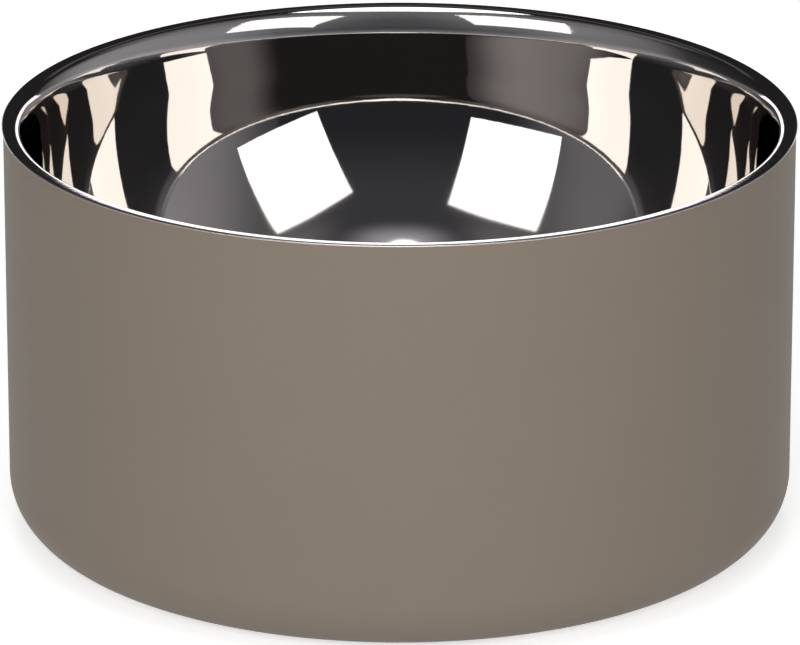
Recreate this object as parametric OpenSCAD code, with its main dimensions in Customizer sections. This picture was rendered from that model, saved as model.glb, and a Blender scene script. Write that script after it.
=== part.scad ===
// Double-wall dog bowl: a mirror-polished steel liner in a powder-coated steel shell, on a rubber ring.
// The origin is the centre of the resting face, at table level, and +Z points up through the mouth.

/* [Overall] */
// Outer diameter of the straight coated wall
body_d = 200; // [170:1:240]
// Height from the table to the top of the lip
body_h = 108; // [88:1:128]

/* [Lip] */
// How far the bare steel lip stands out past the coated wall
lip_overhang = 0.45; // [0.2:0.05:0.8]
// Width of the level top of the lip
lip_flat_w = 2.5; // [1:0.1:4]
// Radius of the crest where the top turns into the mouth
lip_crest_r = 2.3; // [1.6:0.1:3]
// Slope at which the crest hands over to the roll, in degrees below level
lip_crest_turn = 60; // [45:1:68]
// Radius of the roll that leads from the crest down to the flare
lip_roll_r = 10; // [7:0.5:14]
// Slope at which the roll hands over to the flare, in degrees from upright
lip_flare_turn = 14; // [12:0.5:18]
// Radius of the gentle flare that leads from the roll down to the wall
lip_flare_r = 34; // [20:1:50]

/* [Liner] */
// Thickness of the liner's sheet
liner_t = 0.8; // [0.6:0.05:1]
// Lean of the liner's straight wall from upright, in degrees
liner_draft = 7.5; // [5:0.5:11]
// Height of the liner's straight wall
liner_wall_h = 8.5; // [4:0.1:13]
// Slope at which the deep curve hands over to the floor bend, in degrees from upright
knee_turn = 31; // [24:1:40]
// Diameter of the level floor
floor_flat_d = 36; // [10:1:60]
// Height of the floor's upper face above the table
floor_rise = 19; // [14:0.5:26]

/* [Shell] */
// Thickness of the shell's sheet
shell_t = 0.6; // [0.5:0.05:0.9]
// Radius of the rounded lower corner
shell_corner_r = 14.5; // [8:0.5:20]
// How far the shell's underside is held above the table
shell_lift = 1; // [0.6:0.1:2]
// Width of the flat band between that corner and the recess in the underside
band_w = 5.8; // [3:0.1:9]
// Depth of the recess that holds the rubber ring
recess_depth = 3; // [2.6:0.1:4]
// Radius of the two bends at the side of the recess
recess_bend_r = 1.2; // [1:0.1:1.4]

/* [Base plate] */
// Thickness of the base plate
plate_t = 0.8; // [0.6:0.05:1.2]
// Width of the plate's edge that is welded under the shell
plate_seat_w = 6; // [3:0.5:8]
// Distance from the welded edge to the pressed middle
plate_rim_w = 12; // [6:0.5:20]
// How far the plate's middle is pressed up
plate_press = 2.4; // [1.8:0.1:3.2]

/* [Rubber ring] */
// Width of the ring
ring_w = 16; // [12:0.5:22]
// Clearance between the ring and the metal on either side of it
ring_clear = 0.25; // [0.1:0.05:0.4]
// Radius of the grip grooves in the ring's underside
groove_r = 0.7; // [0.4:0.05:0.8]
// Distance between neighbouring grip grooves
groove_pitch = 3.2; // [2.4:0.1:3.6]
// Number of grip grooves
groove_count = 3; // [1:1:3]

/* [Hidden] */

$fn = 180;
// Largest distance between a curve of the liner and the chords that draw it
chord_sag = 0.01;

body_r = body_d / 2;
floor_flat_r = floor_flat_d / 2;

// Direction of the line that leaves a bend's centre at an angle
function ray(a) = [cos(a), sin(a)];

// Points along an arc, close enough together to keep to the sag
function arc(centre, r, from_a, to_a) =
    let (n = ceil(abs(to_a - from_a) / (2 * acos(1 - chord_sag / r))))
    [for (i = [0 : n]) centre + r * ray(from_a + (to_a - from_a) * i / n)];

function backwards(points) = [for (i = [len(points) - 1 : -1 : 0]) points[i]];

// Crest: its centre, and the point where it hands over to the roll
crest_c = [body_r + lip_overhang - liner_t / 2 - lip_flat_w, body_h - lip_crest_r];
crest_a = 90 + lip_crest_turn;
crest_end = crest_c + lip_crest_r * ray(crest_a);

// Roll and flare: each centre lies on the ray where the bend before it ends, so they meet without a kink
roll_c = crest_end - lip_roll_r * ray(crest_a);
flare_a = 180 - lip_flare_turn;
roll_end = roll_c + lip_roll_r * ray(flare_a);
flare_c = roll_end - lip_flare_r * ray(flare_a);
wall_a = 180 - liner_draft;
flare_end = flare_c + lip_flare_r * ray(wall_a);

// Wall: straight down from the flare, leaning inwards by the draft
wall_end = flare_end - liner_wall_h * [tan(liner_draft), 1];

// Deep curve and floor bend: the two radii that lead from the wall's lower end, by way of the knee, to the
// level floor. Their insets add up to the span across, and their drops to the span down.
span_x = wall_end.x - floor_flat_r;
span_z = wall_end.y - floor_rise;
curve_inset_share = cos(liner_draft) - cos(knee_turn);
curve_drop_share = sin(knee_turn) - sin(liner_draft);
bend_inset_share = cos(knee_turn);
bend_drop_share = 1 - sin(knee_turn);
curve_r = (span_z * bend_inset_share - span_x * bend_drop_share)
    / (curve_drop_share * bend_inset_share - curve_inset_share * bend_drop_share);
floor_bend_r = (span_x - curve_r * curve_inset_share) / bend_inset_share;
curve_c = wall_end + curve_r * ray(wall_a);
floor_bend_c = [floor_flat_r, floor_rise + floor_bend_r];

// Underside, from the corner inwards: the recess, the ring, the plate and the hole that the plate closes
seat_z = shell_lift + recess_depth;
recess_r = body_r - shell_corner_r - band_w - recess_bend_r;
ring_out_r = recess_r - ring_clear;
ring_in_r = ring_out_r - ring_w;
plate_r = ring_in_r - ring_clear;
port_r = plate_r - plate_seat_w;
panel_r = port_r - plate_rim_w;

// One bend of a sheet: a band between two radii, from one angle to another
module bend(centre, inner_r, sheet_t, from_a, to_a) {
    outer_r = inner_r + sheet_t;
    mid_a = (from_a + to_a) / 2;
    translate(centre)
        intersection() {
            difference() {
                circle(r = outer_r);
                circle(r = inner_r);
            }
            polygon([[0, 0], 2 * outer_r * ray(from_a), 2 * outer_r * ray(mid_a), 2 * outer_r * ray(to_a)]);
        }
}

// Bar with four rounded edges, as wide and high as its two corners say
module soft_bar(low, high, edge_r) {
    translate([low.x + edge_r, low.y])
        square([high.x - low.x - 2 * edge_r, high.y - low.y]);
    translate([low.x, low.y + edge_r])
        square([high.x - low.x, high.y - low.y - 2 * edge_r]);
    for (x = [low.x + edge_r, high.x - edge_r], y = [low.y + edge_r, high.y - edge_r])
        translate([x, y])
            circle(r = edge_r);
}

// One face of the liner, from the crest down to the middle of the floor. Depth 0 is the polished face,
// and the sheet's thickness gives the hidden one.
function liner_face(depth) = concat(
    arc(crest_c, lip_crest_r - depth, 90, crest_a),
    arc(roll_c, lip_roll_r - depth, crest_a, flare_a),
    arc(flare_c, lip_flare_r - depth, flare_a, wall_a),
    arc(curve_c, curve_r + depth, -liner_draft, -knee_turn),
    arc(floor_bend_c, floor_bend_r + depth, -knee_turn, -90),
    [[0, floor_rise - depth]]
);

// Section of the liner: both faces, joined round the outer edge of the lip
module liner_section() {
    edge_r = liner_t / 2;
    edge_c = [body_r + lip_overhang - edge_r, body_h - edge_r];
    polygon(concat(liner_face(0), backwards(liner_face(liner_t)), arc(edge_c, edge_r, -90, 90)));
}

// Section of the shell, from the welded top edge to the hole that the base plate closes
module shell_section() {
    corner_z = shell_lift + shell_corner_r;
    lower_bend_c = [recess_r + recess_bend_r, shell_lift + recess_bend_r];
    upper_bend_c = [recess_r - recess_bend_r, seat_z - recess_bend_r];
    translate([body_r - shell_t, corner_z])
        square([shell_t, body_h - liner_t - corner_z]);
    bend([body_r - shell_corner_r, corner_z], shell_corner_r - shell_t, shell_t, -90, 0);
    translate([lower_bend_c.x, shell_lift])
        square([band_w, shell_t]);
    bend(lower_bend_c, recess_bend_r - shell_t, shell_t, 180, 270);
    translate([recess_r, lower_bend_c.y])
        square([shell_t, upper_bend_c.y - lower_bend_c.y]);
    bend(upper_bend_c, recess_bend_r, shell_t, 0, 90);
    translate([port_r, seat_z])
        square([upper_bend_c.x - port_r, shell_t]);
}

// Section of the base plate: a flat welded edge, two quarter bends and the pressed middle
module plate_section() {
    under_z = seat_z - plate_t;
    bend_r = (plate_press - plate_t) / 2;
    foot_x = panel_r + 2 * bend_r + plate_t;
    translate([foot_x, under_z])
        square([plate_r - foot_x, plate_t]);
    bend([foot_x, seat_z + bend_r], bend_r, plate_t, 180, 270);
    bend([panel_r, under_z + plate_press - bend_r], bend_r, plate_t, 0, 90);
    translate([0, under_z + plate_press])
        square([panel_r, plate_t]);
}

// Section of the rubber ring: its edges clear the bends of the recess, and grip grooves run round underneath
module ring_section() {
    middle_r = (ring_in_r + ring_out_r) / 2;
    difference() {
        soft_bar([ring_in_r, 0], [ring_out_r, seat_z], recess_bend_r);
        for (i = [0 : groove_count - 1])
            translate([middle_r + (i - (groove_count - 1) / 2) * groove_pitch, 0])
                circle(r = groove_r, $fn = 48);
    }
}

// Drawn and polished liner with its rolled lip, in one sheet
module inner_bowl() {
    color("#c8cacd")
        rotate_extrude()
            liner_section();
}

// Drawn shell with its straight wall, rounded corner and recessed underside
module outer_shell() {
    color("#7d756a")
        rotate_extrude()
            shell_section();
}

// Plate welded under the shell to close the space between the two walls
module base_plate() {
    color("#9a9c9e")
        rotate_extrude()
            plate_section();
}

// Rubber ring that the bowl stands on
module non_slip_ring() {
    color("#2f2f31")
        rotate_extrude()
            ring_section();
}

inner_bowl();
outer_shell();
base_plate();
non_slip_ring();
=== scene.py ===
# %% [markdown]
# A double-wall dog bowl
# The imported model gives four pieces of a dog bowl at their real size: a steel liner, a coated
# shell, a base plate and a rubber ring. This lesson draws each of them again as a smooth turned
# mesh, gives it the finish of the real thing, and lights it as a product photographer would.

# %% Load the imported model
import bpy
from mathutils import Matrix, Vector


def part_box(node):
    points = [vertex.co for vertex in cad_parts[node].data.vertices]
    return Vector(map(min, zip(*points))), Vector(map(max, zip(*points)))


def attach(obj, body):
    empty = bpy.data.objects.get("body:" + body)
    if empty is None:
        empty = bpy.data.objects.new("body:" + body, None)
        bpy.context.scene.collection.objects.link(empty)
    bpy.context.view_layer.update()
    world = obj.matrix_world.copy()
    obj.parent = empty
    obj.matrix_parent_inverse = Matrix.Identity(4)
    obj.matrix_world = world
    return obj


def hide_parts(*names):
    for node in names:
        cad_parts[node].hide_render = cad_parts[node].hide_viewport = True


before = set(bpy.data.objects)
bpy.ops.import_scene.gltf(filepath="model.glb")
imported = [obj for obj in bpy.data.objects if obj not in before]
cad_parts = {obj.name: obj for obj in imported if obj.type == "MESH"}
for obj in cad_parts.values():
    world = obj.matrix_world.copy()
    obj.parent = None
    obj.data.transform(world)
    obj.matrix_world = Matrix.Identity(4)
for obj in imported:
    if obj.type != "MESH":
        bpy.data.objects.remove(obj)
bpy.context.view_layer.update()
print("The packed model has", len(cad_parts), "pieces")

# %% [markdown]
# Sizes
# Blender works in metres, and sheet metal is easier to think of in millimetres. The overall sizes
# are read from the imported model, so the dressed bowl always fits it. The smaller sizes, such as
# the sheets and their bends, are the ones that the bowl was designed with. Turns and slopes are
# in degrees. The liner's sizes run from its outer edge inwards: the nose, the edge, the shoulder
# and the top of the lip, then the crest, the roll and the flare, and below these the wall, the
# knee between the two deep bends, and the floor.

# %% Sizes of the bowl
import math

import bmesh
import bpy
from mathutils import Matrix, Vector

MM = 0.001
lip_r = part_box("inner_bowl")[1].x
lip_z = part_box("inner_bowl")[1].z
wall_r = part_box("outer_shell")[1].x
underside_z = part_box("outer_shell")[0].z
seat_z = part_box("non_slip_ring")[1].z
ring_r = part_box("non_slip_ring")[1].x
plate_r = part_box("base_plate")[1].x
print("The bowl is", round(2 * lip_r / MM, 1), "mm across and", round(lip_z / MM, 1), "mm high")

# %% Sizes of the liner
sheet = 0.8 * MM
nose_r = 0.06 * MM
edge_r = 0.35 * MM
edge_turn = 65
shoulder_r = 1.6 * MM
shoulder_turn = 20
lip_slope = 6
lip_top = 2.0 * MM
seam_w = 0.9 * MM
crest_r = 2.3 * MM
crest_turn = 60
roll_r = 10 * MM
flare_turn = 14
flare_r = 34 * MM
draft = 7.5
wall_h = 8.5 * MM
knee = 31
floor_flat_r = 18 * MM
floor_z = 19 * MM
print("The liner's sheet is", round(sheet / MM, 2), "mm thick")
print("Its floor is", round(floor_z / MM, 1), "mm above the table")

# %% [markdown]
# A pen that draws like a bending machine
# Every piece of this bowl is turned: it is one outline, swept round an axis. A sheet's outline
# runs straight or round a bend, and each stretch starts in the direction in which the last one
# ended. A small pen with a heading draws just that. Both moves use the spin operator on one
# vertex: a straight run is a spin with no angle and a step, and a bend is a spin round a centre
# that lies square to the heading.

# %% The pen
TURNS = 360


class Pen:
    """Draws an outline in the XZ plane. Headings are in degrees, from +X towards +Z."""

    def __init__(self, bm, vert, heading):
        self.bm = bm
        self.vert = vert
        self.heading = heading

    def sweep(self, centre, axis_y, degrees, step, steps):
        made = bmesh.ops.spin(
            self.bm, geom=[self.vert], cent=centre, axis=(0, axis_y, 0), dvec=step,
            angle=math.radians(degrees), steps=steps, use_merge=False)
        self.vert = [item for item in made["geom_last"] if isinstance(item, bmesh.types.BMVert)][0]

    def straight(self, length, steps=1):
        heading = math.radians(self.heading)
        step = Vector((math.cos(heading), 0, math.sin(heading))) * (length / steps)
        self.sweep((0, 0, 0), 1, 0, step, steps)

    def reach(self, x, z):
        self.sweep((0, 0, 0), 1, 0, Vector((x, 0, z)) - self.vert.co, 1)

    def left(self, radius, degrees, steps):
        heading = math.radians(self.heading)
        centre = self.vert.co + radius * Vector((-math.sin(heading), 0, math.cos(heading)))
        self.sweep(centre, -1, degrees, (0, 0, 0), steps)
        self.heading += degrees

    def right(self, radius, degrees, steps):
        heading = math.radians(self.heading)
        centre = self.vert.co - radius * Vector((-math.sin(heading), 0, math.cos(heading)))
        self.sweep(centre, 1, degrees, (0, 0, 0), steps)
        self.heading -= degrees


print("One turn of a piece has", TURNS, "steps")

# %% [markdown]
# From an outline to a piece
# A full spin round the Z axis turns the outline into a body. Where the outline touches the axis,
# each turn leaves a copy of the same point, so doubles are merged before the normals are worked
# out. Edges sharper than a chosen angle stay sharp and all others are shaded smooth. The object
# itself stays at the origin, with its place in its mesh, so that a pattern on Object coordinates
# stays where it is.

# %% Meshes and objects
WELD = 0.001 * MM


def full_turn(bm, steps, weld):
    """Spins the outline round the Z axis and merges the points that fall together"""
    bmesh.ops.spin(
        bm, geom=bm.verts[:] + bm.edges[:], cent=(0, 0, 0), axis=(0, 0, 1), dvec=(0, 0, 0),
        angle=2 * math.pi, steps=steps, use_merge=True)
    bmesh.ops.remove_doubles(bm, verts=bm.verts[:], dist=weld)


def finished_mesh(bm, name, material):
    mesh = bpy.data.meshes.new(name)
    bm.to_mesh(mesh)
    bm.free()
    mesh.materials.append(material)
    return mesh


def new_object(name, data):
    thing = bpy.data.objects.new(name, data)
    bpy.context.scene.collection.objects.link(thing)
    return thing


print("Points of a piece less than", WELD / MM, "mm apart are merged")

# %% Turn an outline into a piece
SHARP = 40


def turned_piece(bm, name, node, material):
    """Spins the outline into a piece, which rides on the bowl and stands for the CAD node."""
    full_turn(bm, TURNS, WELD)
    bmesh.ops.recalc_face_normals(bm, faces=bm.faces[:])
    for face in bm.faces:
        face.smooth = True
    for edge in bm.edges:
        edge.smooth = edge.calc_face_angle(0) < math.radians(SHARP)
    mesh = finished_mesh(bm, name, material)
    piece = new_object(name, mesh)
    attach(piece, "root")
    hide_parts(node)
    print(name, "has", len(mesh.vertices), "vertices and", len(mesh.polygons), "faces")


print("Edges that turn by more than", SHARP, "degrees stay sharp")

# %% [markdown]
# Helpers for materials
# A material is a small tree of nodes. These helpers add a node and set its sockets by name, so
# that each finish below reads as a list of what it is made of. A socket takes either a plain
# value or the output of another node. Patterns use Object coordinates in metres. A turned piece
# is polished or spun on a lathe, so its marks run round the axis: the turned coordinates give the
# distance from the axis, the height and the angle as three numbers, and a noise on them with
# little weight on the angle makes rings.

# %% New materials and nodes
def new_material(name):
    material = bpy.data.materials.new(name)
    material.use_nodes = True
    tree = material.node_tree
    return material, tree, tree.nodes["Principled BSDF"]


def connect(tree, socket, value):
    """Links the socket to another node's output, or sets it to a plain value"""
    if isinstance(value, bpy.types.NodeSocket):
        tree.links.new(value, socket)
    else:
        socket.default_value = value


def set_sockets(tree, node, **sockets):
    """Fills sockets by name, with an underscore for each space in the name"""
    for key, value in sockets.items():
        connect(tree, node.inputs[key.replace("_", " ")], value)


def add_node(tree, kind, settings=(), **sockets):
    node = tree.nodes.new(kind)
    for key, value in dict(settings).items():
        setattr(node, key, value)
    set_sockets(tree, node, **sockets)
    return node


# %% Sums on values
def maths(tree, operation, *values):
    node = tree.nodes.new("ShaderNodeMath")
    node.operation = operation
    for socket, value in zip(node.inputs, values):
        connect(tree, socket, value)
    return node.outputs[0]


def total(tree, first, *others):
    for value in others:
        first = maths(tree, "ADD", first, value)
    return first


def product(tree, first, *others):
    for value in others:
        first = maths(tree, "MULTIPLY", first, value)
    return first


def ramp(tree, value, start, end, low=0.0, high=1.0, kind="LINEAR"):
    """Leads from low to high while the value goes from start to end"""
    node = add_node(
        tree, "ShaderNodeMapRange", {"interpolation_type": kind},
        Value=value, From_Min=start, From_Max=end, To_Min=low, To_Max=high)
    return node.outputs[0]


def smooth_step(tree, value, start, end, low=0.0, high=1.0):
    """A ramp that starts and ends gently"""
    return ramp(tree, value, start, end, low, high, "SMOOTHSTEP")


# %% Places on a piece
def object_place(tree):
    return tree.nodes.new("ShaderNodeTexCoord").outputs["Object"]


def three_numbers(tree, vector):
    return add_node(tree, "ShaderNodeSeparateXYZ", Vector=vector).outputs


def from_axis(tree, x, y):
    """Distance from the Z axis"""
    return maths(tree, "SQRT", total(tree, product(tree, x, x), product(tree, y, y)))


def turned_place(tree, across, along, around):
    """Distance from the axis, height and angle, each with its own weight"""
    x, y, z = three_numbers(tree, object_place(tree))
    angle = maths(tree, "ARCTAN2", y, x)
    joined = add_node(
        tree, "ShaderNodeCombineXYZ",
        X=product(tree, from_axis(tree, x, y), across),
        Y=product(tree, z, along),
        Z=product(tree, angle, around))
    return joined.outputs[0]


# %% Noise, tones and bumps
NOISE_LOW = 0.3
NOISE_HIGH = 0.7


def noise(tree, place, scale, detail=3.0, rough=0.5):
    node = add_node(
        tree, "ShaderNodeTexNoise", Vector=place, Scale=scale, Detail=detail, Roughness=rough)
    return node.outputs[0]


def spread(tree, value, low=0.0, high=1.0):
    """Stretches a noise value, which stays near one half, over the range from low to high"""
    return ramp(tree, value, NOISE_LOW, NOISE_HIGH, low, high)


def two_tones(tree, share, first, second):
    """The first colour where the share is 0, the second where it is 1, and a mix between"""
    mix = add_node(
        tree, "ShaderNodeMix", {"data_type": "RGBA"}, Factor=share, A=(*first, 1), B=(*second, 1))
    return mix.outputs["Result"]


def bump(tree, height, distance, strength=1.0, normal=None):
    node = add_node(tree, "ShaderNodeBump", Height=height, Distance=distance, Strength=strength)
    if normal is not None:
        tree.links.new(normal, node.inputs["Normal"])
    return node.outputs[0]


print("Noise is taken to lie between", NOISE_LOW, "and", NOISE_HIGH)

# %% [markdown]
# Finish of the liner: polished stainless steel
# The inside of the bowl is polished to a mirror on a lathe. A mirror shows the room and not
# itself, so its own detail is very fine: the polishing wheel leaves hair lines that run round the
# axis, the pressed sheet keeps a faint waviness, and the deep floor, which the wheel reaches
# last, stays a little grainier than the wall. The lip is ground by hand after welding, so it has
# small ripples and its edge stays satin. The back of the roll below it keeps a haze from
# polishing: a rough coat over the mirror, which spreads the brightest lights into a soft glow.
# Each of these reads the height, the depth from front to back or the distance from the axis, so
# one material can change from place to place.

# %% Roughness of the polished steel
MIRROR = 0.012
HAIR_LINES = 0.02
FLOOR_GRAIN = 0.07
LIP_GRAIN = 0.03
EDGE_SATIN = 0.22


def steel_roughness(tree, height, distance, hair):
    """A mirror that gets grainier towards the floor and on the lip, and is satin at its edge"""
    floor_share = smooth_step(tree, height, lip_z - 30 * MM, floor_z + 16 * MM, 0.0, FLOOR_GRAIN)
    lip_share = smooth_step(tree, height, lip_z - 7 * MM, lip_z - 3 * MM, 0.0, LIP_GRAIN)
    edge_share = smooth_step(
        tree, distance, lip_r - 0.45 * MM, lip_r - 0.2 * MM, 0.0, EDGE_SATIN)
    hair_share = product(tree, hair, HAIR_LINES)
    return total(tree, floor_share, lip_share, edge_share, hair_share, MIRROR)


print("The mirror's own roughness is", MIRROR)

# %% Haze and relief of the polished steel
def steel_haze(tree, height, depth):
    """1 at the back of the roll, and 0 above it, below it and at the front"""
    over_wall = smooth_step(tree, height, lip_z - 7 * MM, lip_z - 4.5 * MM)
    under_top = smooth_step(tree, height, lip_z - 0.6 * MM, lip_z - 1.6 * MM)
    behind = smooth_step(tree, depth, 20 * MM, 75 * MM)
    return product(tree, over_wall, under_top, behind)


def steel_relief(tree, place, height, hair):
    """Waves of the sheet, small ripples, hair lines, and the ripples of the ground lip"""
    waves = bump(tree, noise(tree, place, 90.0, 2.0), 0.012 * MM, 0.35)
    ripples = bump(tree, noise(tree, place, 420.0, 1.0), 0.0016 * MM, 0.6, waves)
    lines = bump(tree, hair, 0.0006 * MM, 0.5, ripples)
    ground = smooth_step(tree, height, lip_z - 4 * MM, lip_z - 1.5 * MM)
    return bump(tree, noise(tree, place, 800.0, 1.0), 0.009 * MM, ground, lines)


# %% Polished steel
def polished_steel():
    material, tree, steel = new_material("liner_steel")
    place = object_place(tree)
    x, depth, height = three_numbers(tree, place)
    tone = spread(tree, noise(tree, place, 25.0))
    hair = noise(tree, turned_place(tree, 3000.0, 3000.0, 2.0), 1.0, 2.0)
    set_sockets(
        tree, steel, Metallic=1.0,
        Base_Color=two_tones(tree, tone, (0.825, 0.782, 0.738), (0.812, 0.768, 0.722)),
        Roughness=steel_roughness(tree, height, from_axis(tree, x, depth), hair),
        Coat_Weight=steel_haze(tree, height, depth), Coat_Roughness=0.42, Coat_IOR=2.7,
        Normal=steel_relief(tree, place, height, hair))
    return material


liner_finish = polished_steel()
print("The liner's finish is", liner_finish.name)

# %% [markdown]
# The liner
# The real liner is one sheet. It is drawn into a die, its edge is rolled over, and its lip is
# welded to the shell and ground, which leaves a thin round edge and a top that falls inwards by a
# few degrees. The outline is drawn from that edge inwards: the top, the tight crest, the rounder
# roll, a gentle flare, a short wall, the deep curve and the floor bend. Each starts where the
# last one ended, so the reflections run on without a kink. The radii of the deep curve and of the
# floor bend aren't chosen: they are the two that lead from the wall down to the floor, and two
# equations give them.

# %% Radii of the deep curve and the floor bend
def deep_radii(wall_x, wall_z):
    """Radii of the deep curve and the floor bend, from where the wall ends"""
    lean, turn = math.radians(draft), math.radians(knee)
    shares = Matrix((
        (math.cos(lean) - math.cos(turn), math.cos(turn)),
        (math.sin(turn) - math.sin(lean), 1 - math.sin(turn))))
    radii = shares.inverted() @ Vector((wall_x - floor_flat_r, wall_z - floor_z))
    print("Deep curve and floor bend in mm:", [round(r / MM, 2) for r in radii])
    return radii


# %% Draw the liner
def inner_face(pen, depth, detail, radii=None):
    """One face of the sheet, from the crest to the floor. Depth 0 is the polished one."""
    pen.left(crest_r - depth, crest_turn - lip_slope, 8 * detail)
    pen.left(roll_r - depth, 90 - flare_turn - crest_turn, 6 * detail)
    pen.left(flare_r - depth, flare_turn - draft, 5 * detail)
    pen.straight(wall_h / math.cos(math.radians(draft)), 2 * detail)
    if radii is None:
        radii = deep_radii(pen.vert.co.x, pen.vert.co.z)
    curve_r, floor_bend_r = radii
    pen.right(curve_r + depth, knee - draft, 16 * detail)
    pen.right(floor_bend_r + depth, 90 - knee, 22 * detail)
    pen.straight(pen.vert.co.x, 4)
    return radii


def draw_liner():
    """Draws the liner, and gives the height of the seam between its lip and the shell"""
    bm = bmesh.new()
    steep, gentle = math.radians(edge_turn), math.radians(shoulder_turn)
    drop = edge_r * (math.cos(gentle) - math.cos(steep)) + shoulder_r * (1 - math.cos(gentle))
    nose = bm.verts.new((lip_r - nose_r * (1 - math.sin(steep)), 0, lip_z - drop))
    top = Pen(bm, nose, 180 - edge_turn)
    top.left(edge_r, edge_turn - shoulder_turn, 8)
    top.left(shoulder_r, shoulder_turn + lip_slope, 8)
    top.straight(lip_top, 2)
    crest_x, crest_z = top.vert.co.x, top.vert.co.z
    radii = inner_face(top, 0, 2)
    under = Pen(bm, nose, -edge_turn)
    under.right(nose_r, 180 - edge_turn, 4)
    seam_z = under.vert.co.z
    under.reach(wall_r - seam_w, seam_z)
    slope = math.radians(lip_slope)
    under.reach(crest_x + sheet * math.sin(slope), crest_z - sheet * math.cos(slope))
    under.heading = 180 + lip_slope
    inner_face(under, sheet, 1, radii)
    turned_piece(bm, "liner", "inner_bowl", liner_finish)
    return seam_z


seam_z = draw_liner()

# %% [markdown]
# Finish of the shell: taupe powder coat
# Powder coat is paint that is sprayed as a dry powder and baked. It flows just enough to close,
# and leaves a fine orange peel with a soft matte sheen. The colour is even, with a trace of
# mottling where the film is thicker. Two noises make the peel: a fine one for the grains and a
# broader one for the flow.

# %% Powder coat
def powder_coat():
    material, tree, coat = new_material("shell_coat")
    place = object_place(tree)
    mottling = spread(tree, noise(tree, place, 60.0, 4.0))
    grains = noise(tree, place, 2200.0, 2.0)
    flow = bump(tree, noise(tree, place, 500.0, 2.0), 0.03 * MM, 0.5)
    set_sockets(
        tree, coat, Specular_IOR_Level=0.4,
        Base_Color=two_tones(tree, mottling, (0.231, 0.189, 0.149), (0.236, 0.193, 0.153)),
        Roughness=spread(tree, grains, 0.54, 0.66),
        Normal=bump(tree, grains, 0.015 * MM, 0.5, flow))
    return material


shell_finish = powder_coat()
print("The shell's finish is", shell_finish.name)

# %% [markdown]
# The shell
# The shell is the second drawn cup. Its wall is straight, a round corner leads to the underside,
# and two small bends form the recess for the rubber ring. In the middle it is open: the base
# plate closes that port.

# %% Sizes of the shell
shell_sheet = 0.6 * MM
corner_r = 14.5 * MM
band = 5.8 * MM
recess_bend = 1.2 * MM
plate_seat = 6 * MM
port_r = plate_r - plate_seat
top_soft = 0.1 * MM
print("The shell's port is", round(2 * port_r / MM, 1), "mm across")

# %% Draw the shell
def shell_face(pen, depth):
    """One face of the sheet, from the top edge to the port. Depth 0 is the one outside."""
    pen.straight(pen.vert.co.z - underside_z - corner_r, 30)
    pen.right(corner_r - depth, 90, 32)
    pen.straight(band, 3)
    pen.right(recess_bend - depth, 90, 8)
    pen.straight(seat_z - underside_z - 2 * recess_bend, 2)
    pen.left(recess_bend + depth, 90, 8)
    pen.straight(pen.vert.co.x - port_r, 8)


def draw_shell():
    bm = bmesh.new()
    start = bm.verts.new((wall_r - top_soft, 0, seam_z))
    outer = Pen(bm, start, 0)
    outer.right(top_soft, 90, 4)
    shell_face(outer, 0)
    inner_start = bm.verts.new((wall_r - shell_sheet, 0, seam_z))
    bm.edges.new((start, inner_start))
    inner = Pen(bm, inner_start, -90)
    shell_face(inner, shell_sheet)
    bm.edges.new((outer.vert, inner.vert))
    turned_piece(bm, "shell", "outer_shell", shell_finish)


draw_shell()

# %% [markdown]
# Finish of the base plate: plain drawn steel
# Nobody polishes the plate under a bowl. It keeps the satin grain of the rolled sheet, which runs
# one way across the plate, and the seam welder leaves a ring of overlapping, slightly browned
# spots near its edge. A sine of the angle makes the spots, and the distance from the weld's
# middle makes the ring.

# %% Plain steel
WELD_SPOTS = 160.0
weld_r = plate_r - 3 * MM


def plain_steel():
    material, tree, steel = new_material("plate_steel")
    rolled = add_node(tree, "ShaderNodeMapping", Vector=object_place(tree), Scale=(1.0, 60.0, 1.0))
    grain = noise(tree, rolled.outputs[0], 45.0, 4.0)
    distance, _height, angle = three_numbers(tree, turned_place(tree, 1.0, 1.0, 1.0))
    off_weld = maths(tree, "ABSOLUTE", maths(tree, "SUBTRACT", distance, weld_r))
    track = ramp(tree, off_weld, 0.7 * MM, 1.5 * MM, 1.0, 0.0)
    wave = maths(tree, "SINE", product(tree, angle, WELD_SPOTS))
    weld = product(tree, track, maths(tree, "MULTIPLY_ADD", wave, 0.25, 0.75))
    dents = bump(tree, weld, -0.12 * MM, 0.6)
    set_sockets(
        tree, steel, Metallic=1.0,
        Base_Color=two_tones(tree, weld, (0.60, 0.59, 0.57), (0.36, 0.29, 0.22)),
        Roughness=spread(tree, grain, 0.26, 0.42),
        Normal=bump(tree, grain, 0.004 * MM, 0.6, dents))
    return material


plate_finish = plain_steel()
print("The plate's finish is", plate_finish.name)

# %% [markdown]
# The base plate
# The plate is a shallow pressing: a flat edge that is welded under the shell, a short step and a
# raised middle, which keeps it from drumming. The outline is one sheet again, drawn from the edge
# inwards on both faces.

# %% Sizes of the base plate
plate_sheet = 0.8 * MM
plate_press = 2.4 * MM
plate_bend = (plate_press - plate_sheet) / 2
plate_rim = 12 * MM
panel_r = port_r - plate_rim
edge_soft = 0.2 * MM
print("The plate's middle is", round(2 * panel_r / MM, 1), "mm across")

# %% Draw the base plate
def plate_face(pen, depth):
    """One face of the plate, from its edge to its middle. Depth 0 is the one underneath."""
    pen.straight(pen.vert.co.x - panel_r - 2 * plate_bend - plate_sheet, 6)
    pen.right(plate_bend + plate_sheet - depth, 90, 8)
    pen.left(plate_bend + depth, 90, 8)
    pen.straight(pen.vert.co.x, 8)


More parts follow.
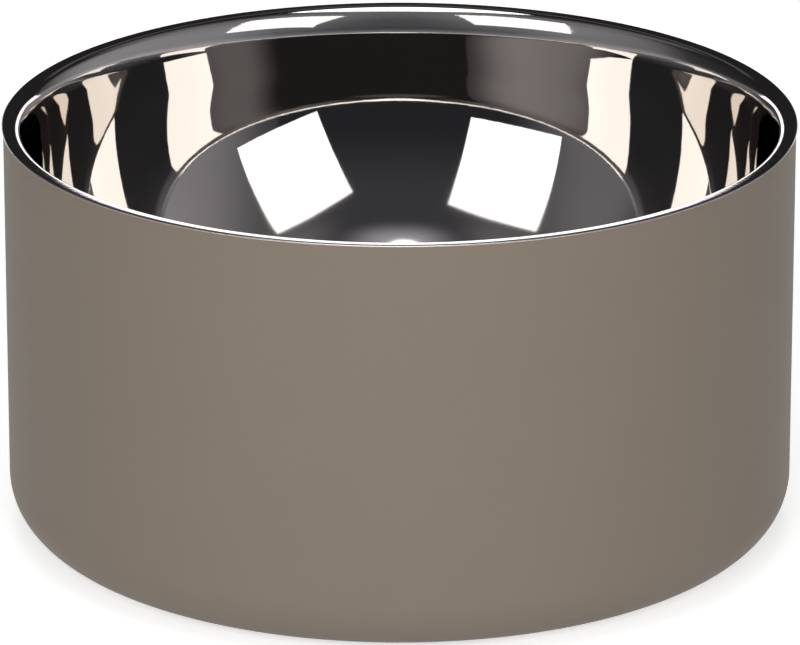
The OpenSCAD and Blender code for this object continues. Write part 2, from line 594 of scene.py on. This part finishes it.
def draw_plate():
    bm = bmesh.new()
    under_z = seat_z - plate_sheet
    start = bm.verts.new((plate_r - edge_soft, 0, under_z))
    plate_face(Pen(bm, start, 180), 0)
    edge = Pen(bm, start, 0)
    edge.left(edge_soft, 90, 4)
    edge.straight(plate_sheet - 2 * edge_soft, 1)
    edge.left(edge_soft, 90, 4)
    plate_face(edge, plate_sheet)
    turned_piece(bm, "plate", "base_plate", plate_finish)


draw_plate()

# %% [markdown]
# Finish of the ring: moulded rubber
# The ring is black rubber from a mould. It is matte, slightly grey where it rubs on the floor,
# and never quite even, so its roughness and colour drift a little. A broad noise gives the wear
# and a fine one the skin.

# %% Rubber
def rubber():
    material, tree, skin = new_material("ring_rubber")
    place = object_place(tree)
    wear = spread(tree, noise(tree, place, 120.0, 4.0))
    fine = noise(tree, place, 1500.0, 2.0)
    set_sockets(
        tree, skin, Base_Color=two_tones(tree, wear, (0.022, 0.022, 0.023), (0.038, 0.037, 0.036)),
        Roughness=spread(tree, fine, 0.68, 0.86),
        Normal=bump(tree, fine, 0.02 * MM, 0.5))
    return material


ring_finish = rubber()
print("The ring's finish is", ring_finish.name)

# %% [markdown]
# The rubber ring
# The ring is a bar with rounded edges, bent into a hoop and pressed into the recess. Three
# grooves run round its underside and give wet floors somewhere to drain. Each groove is drawn as
# three bends, so its lips are round.

# %% Sizes of the ring
ring_edge = 1.2 * MM
ring_clear = 0.25 * MM
ring_in_r = plate_r + ring_clear
groove_turn = 75
groove_lip_r = 0.3 * MM
groove_r = 0.6 * MM
groove_pitch = 3.2 * MM
groove_w = 2 * (groove_lip_r + groove_r) * math.sin(math.radians(groove_turn))
print("Each groove is", round(groove_w / MM, 2), "mm wide")

# %% Draw the rubber ring
def draw_ring():
    bm = bmesh.new()
    middle_r = (ring_r + ring_in_r) / 2
    start = bm.verts.new((ring_in_r + ring_edge, 0, 0))
    pen = Pen(bm, start, 0)
    for place in (-1, 0, 1):
        pen.straight(middle_r + place * groove_pitch - groove_w / 2 - pen.vert.co.x, 2)
        pen.left(groove_lip_r, groove_turn, 4)
        pen.right(groove_r, 2 * groove_turn, 10)
        pen.left(groove_lip_r, groove_turn, 4)
    pen.straight(ring_r - ring_edge - pen.vert.co.x, 3)
    pen.left(ring_edge, 90, 8)
    pen.straight(seat_z - 2 * ring_edge, 2)
    pen.left(ring_edge, 90, 8)
    pen.straight(ring_r - ring_in_r - 2 * ring_edge, 4)
    pen.left(ring_edge, 90, 8)
    pen.straight(seat_z - 2 * ring_edge, 2)
    pen.left(ring_edge, 90, 8)
    turned_piece(bm, "ring", "non_slip_ring", ring_finish)


draw_ring()

# %% [markdown]
# The camera
# The photograph was taken with a long lens from a little above: the rim is a thin ellipse and its
# sides hardly converge. A camera was fitted to the rim and the silhouette, and its distance,
# height angle and lens are used here. It looks straight at a point on the axis, so no lens shift
# is needed.

# %% Camera
PHOTO_WIDTH = 800
SENSOR = 36.0
camera_distance = 1.75
camera_rise = math.radians(19.51)
camera_target = Vector((0.09 * MM, 0, 53.05 * MM))
focal_pixels = 6862


def place_camera():
    data = bpy.data.cameras.new("camera")
    data.sensor_fit = "HORIZONTAL"
    data.sensor_width = SENSOR
    data.lens = focal_pixels / PHOTO_WIDTH * SENSOR
    camera = new_object("camera", data)
    away = Vector((0, -math.cos(camera_rise), math.sin(camera_rise)))
    camera.location = camera_target + camera_distance * away
    camera.rotation_euler = (math.pi / 2 - camera_rise, 0, 0)
    bpy.context.scene.camera = camera
    print("The lens is", round(data.lens), "mm long")


place_camera()

# %% [markdown]
# The studio
# A mirror is lit by what it sees. Two square softboxes stand to the left and right of the camera,
# a long rounded one hangs overhead, and the rest of the room is dark: that is why the polished
# steel shows crisp white panels on black. Their places were found by following rays from the
# camera through the steel. Azimuths run from straight behind the bowl towards +X, so the camera
# stands at 180 degrees. The lamps are area lamps, which light the bowl and also show in the
# steel, but the camera doesn't see them. The right softbox leans a little, like the real one. A
# fourth lamp near the camera fills the front of the coat, and the steel doesn't see that one. The
# power that a panel needs is pi times its area times its brightness.

# %% Softboxes
def direction(azimuth, elevation):
    a, e = math.radians(azimuth), math.radians(elevation)
    return Vector((math.sin(a) * math.cos(e), math.cos(a) * math.cos(e), math.sin(e)))


def softbox(name, place, aim, roll, width, height, brightness, shape="RECTANGLE"):
    """An area lamp that shows in a mirror as a panel of the given brightness"""
    data = bpy.data.lights.new(name, "AREA")
    data.shape = shape
    data.size = width
    data.size_y = height
    data.energy = math.pi * width * height * brightness
    lamp = new_object(name, data)
    lamp.location = place
    facing = (aim - place).to_track_quat("-Z", "Y").to_matrix()
    lamp.rotation_euler = (facing @ Matrix.Rotation(math.radians(roll), 3, "Z")).to_euler()
    lamp.visible_camera = False
    print(name, "is", round(width, 2), "by", round(height, 2), "m")
    return lamp


# %% Place the softboxes
bowl_middle = Vector((0, 0, lip_z))
side_distance = 3.0
panel_brightness = 1.5
fill_brightness = 8.4
right_place = bowl_middle + side_distance * direction(141.0, 25.2)
softbox("right_softbox", right_place, bowl_middle, 11.0, 1.61, 1.48, panel_brightness)
left_place = bowl_middle + side_distance * direction(-140.5, 25.4)
softbox("left_softbox", left_place, bowl_middle, 0.0, 1.73, 1.51, panel_brightness)
top_place = Vector((-0.05, -0.17, 2.0))
below_top = top_place - Vector((0, 0, 1))
softbox("top_softbox", top_place, below_top, 0.0, 1.05, 2.54, panel_brightness, "ELLIPSE")
fill_place = Vector((-0.1, -2.6, 1.3))
front_fill = softbox("front_fill", fill_place, bowl_middle, 0.0, 1.5, 1.0, fill_brightness)
front_fill.visible_glossy = False

# %% [markdown]
# The dark room
# Only the steel sees the dark room, so it is a dome that exists for glossy rays alone: it casts
# no shadow and takes no light away from the coat. Its tone changes with the direction, which X, Y
# and Z of a point on the dome give: grey walls to the right and, fainter, to the left, near black
# behind the camera and behind the bowl, a little spill on the ceiling, round the front edge of
# the overhead box, on the floor and high up at the back, and a white sheet of paper that stands
# up behind the bowl. Each tone below is the most that its part of the room adds, where 1 is
# white. Towards the camera the dark turns slightly blue.

# %% Tones of the dark room
DARK = 0.016
FRONT_LOW = 0.004
FRONT_HIGH = 0.028
RIGHT_WALL = 0.21
RIGHT_EDGE = 0.04
LEFT_WALL = 0.12
HIGH_BACK = 0.075
CEILING = 0.10
BOX_GLOW = 0.30
FLOOR_SPILL = 0.25
PAPER = 1.6
PAPER_HIGH = 0.21
print("The darkest tone is", DARK, "and the paper's is", PAPER)

# %% Walls and spill of the dark room
def room_walls(tree, x, y, z):
    """Grey walls to the right and left, and the wall high up at the back"""
    right = total(
        tree, smooth_step(tree, x, 0.63, 0.95, 0.0, RIGHT_WALL),
        smooth_step(tree, x, 0.62, 0.65, 0.0, RIGHT_EDGE))
    right = product(tree, right, smooth_step(tree, y, 0.3, -0.4, 1.0, 0.78))
    left = product(
        tree, smooth_step(tree, x, -0.55, -0.92, 0.0, LEFT_WALL),
        smooth_step(tree, y, 0.25, -0.15))
    back = product(
        tree, smooth_step(tree, z, 0.47, 0.54, 0.0, HIGH_BACK),
        smooth_step(tree, y, 0.70, 0.80))
    return total(tree, right, left, back)


def room_spill(tree, x, y, z):
    """Light on the ceiling, round the front of the overhead box, and on the floor"""
    aside = maths(tree, "ABSOLUTE", x)
    ceiling = product(
        tree, smooth_step(tree, z, 0.60, 0.74, 0.0, CEILING),
        smooth_step(tree, aside, 0.25, 0.55))
    box_glow = product(
        tree, smooth_step(tree, z, 0.70, 0.80, 0.0, BOX_GLOW),
        smooth_step(tree, aside, 0.36, 0.06), smooth_step(tree, y, -0.30, -0.55))
    ground = smooth_step(tree, z, 0.12, 0.02, 0.0, FLOOR_SPILL)
    return total(tree, ceiling, box_glow, ground)


def room_tone(tree):
    """How bright the room is in each direction"""
    aim = add_node(
        tree, "ShaderNodeVectorMath", {"operation": "NORMALIZE"}, Vector=object_place(tree))
    x, y, z = three_numbers(tree, aim.outputs[0])
    front = product(
        tree, smooth_step(tree, y, 0.35, -0.35),
        smooth_step(tree, z, 0.25, 0.6, FRONT_LOW, FRONT_HIGH))
    room = total(tree, front, DARK, room_walls(tree, x, y, z), room_spill(tree, x, y, z))
    paper_top = smooth_step(tree, y, 0.70, 0.92, 0.0, PAPER_HIGH)
    over_paper = maths(tree, "SUBTRACT", z, paper_top)
    return maths(tree, "MAXIMUM", room, smooth_step(tree, over_paper, 0.02, -0.02, 0.0, PAPER))


# %% Dark room
ROOM_R = 8.0


def dark_room():
    bm = bmesh.new()
    pen = Pen(bm, bm.verts.new((ROOM_R, 0, 0)), 90)
    pen.left(ROOM_R, 90, 24)
    full_turn(bm, 96, MM)
    material = bpy.data.materials.new("dark_room")
    material.use_nodes = True
    material.cycles.emission_sampling = "NONE"
    tree = material.node_tree
    tree.nodes.clear()
    y = three_numbers(tree, object_place(tree))["Y"]
    to_camera = smooth_step(tree, y, -0.4 * ROOM_R, -0.9 * ROOM_R)
    tint = two_tones(tree, to_camera, (0.99, 0.97, 1.05), (0.93, 0.96, 1.15))
    glow = add_node(tree, "ShaderNodeEmission", Color=tint, Strength=room_tone(tree))
    add_node(tree, "ShaderNodeOutputMaterial", Surface=glow.outputs[0])
    mesh = finished_mesh(bm, "dark_room", material)
    room = new_object("dark_room", mesh)
    room.visible_camera = False
    room.visible_diffuse = False
    room.visible_transmission = False
    room.visible_volume_scatter = False
    room.visible_shadow = False
    print("The dark room is a dome of", len(mesh.polygons), "faces")


dark_room()

# %% [markdown]
# Floor, backdrop and fill light
# The table is a large pale disc. Its colour is near white, and for the camera and the steel it
# glows a little on top of the light it gets, so that it meets the white backdrop without an edge
# and still keeps the bowl's shadow. It has one side only: from below it is clear, so that the
# bowl's underside can be looked at. The world does the same job above the horizon: white where it
# is looked at, and a soft fill everywhere else.

# %% Floor
TABLE_R = 6.0
TABLE_TONE = 0.80
TABLE_GLOW = 0.62


def seen_share(tree):
    """1 for rays from the camera, a mirror or glass, and 0 for rays that gather light"""
    path = tree.nodes.new("ShaderNodeLightPath")
    seen = maths(tree, "MAXIMUM", path.outputs["Is Camera Ray"], path.outputs["Is Glossy Ray"])
    return maths(tree, "MAXIMUM", seen, path.outputs["Is Transmission Ray"])


def table_top():
    bm = bmesh.new()
    bmesh.ops.create_circle(bm, cap_ends=True, segments=128, radius=TABLE_R)
    material, tree, paint = new_material("table_paint")
    material.cycles.emission_sampling = "NONE"
    set_sockets(
        tree, paint, Base_Color=(TABLE_TONE, TABLE_TONE, TABLE_TONE, 1), Roughness=0.9,
        Specular_IOR_Level=0.1, Emission_Color=(1, 1, 1, 1),
        Emission_Strength=product(tree, seen_share(tree), TABLE_GLOW))
    from_below = tree.nodes.new("ShaderNodeNewGeometry").outputs["Backfacing"]
    clear = tree.nodes.new("ShaderNodeBsdfTransparent").outputs[0]
    one_sided = add_node(tree, "ShaderNodeMixShader", Fac=from_below)
    tree.links.new(paint.outputs[0], one_sided.inputs[1])
    tree.links.new(clear, one_sided.inputs[2])
    set_sockets(tree, tree.nodes["Material Output"], Surface=one_sided.outputs[0])
    table = new_object("table_top", finished_mesh(bm, "table_top", material))
    print("The table is", 2 * TABLE_R, "m across")


table_top()

# %% World
FILL = 0.08


def white_backdrop():
    world = bpy.data.worlds.new("backdrop")
    bpy.context.scene.world = world
    world.use_nodes = True
    world.cycles.sampling_method = "NONE"
    tree = world.node_tree
    strength = ramp(tree, seen_share(tree), 0.0, 1.0, FILL, 1.0)
    set_sockets(tree, tree.nodes["Background"], Color=(1, 1, 1, 1), Strength=strength)
    print("The fill light is", FILL)


white_backdrop()
bpy.context.scene.view_settings.view_transform = "Standard"
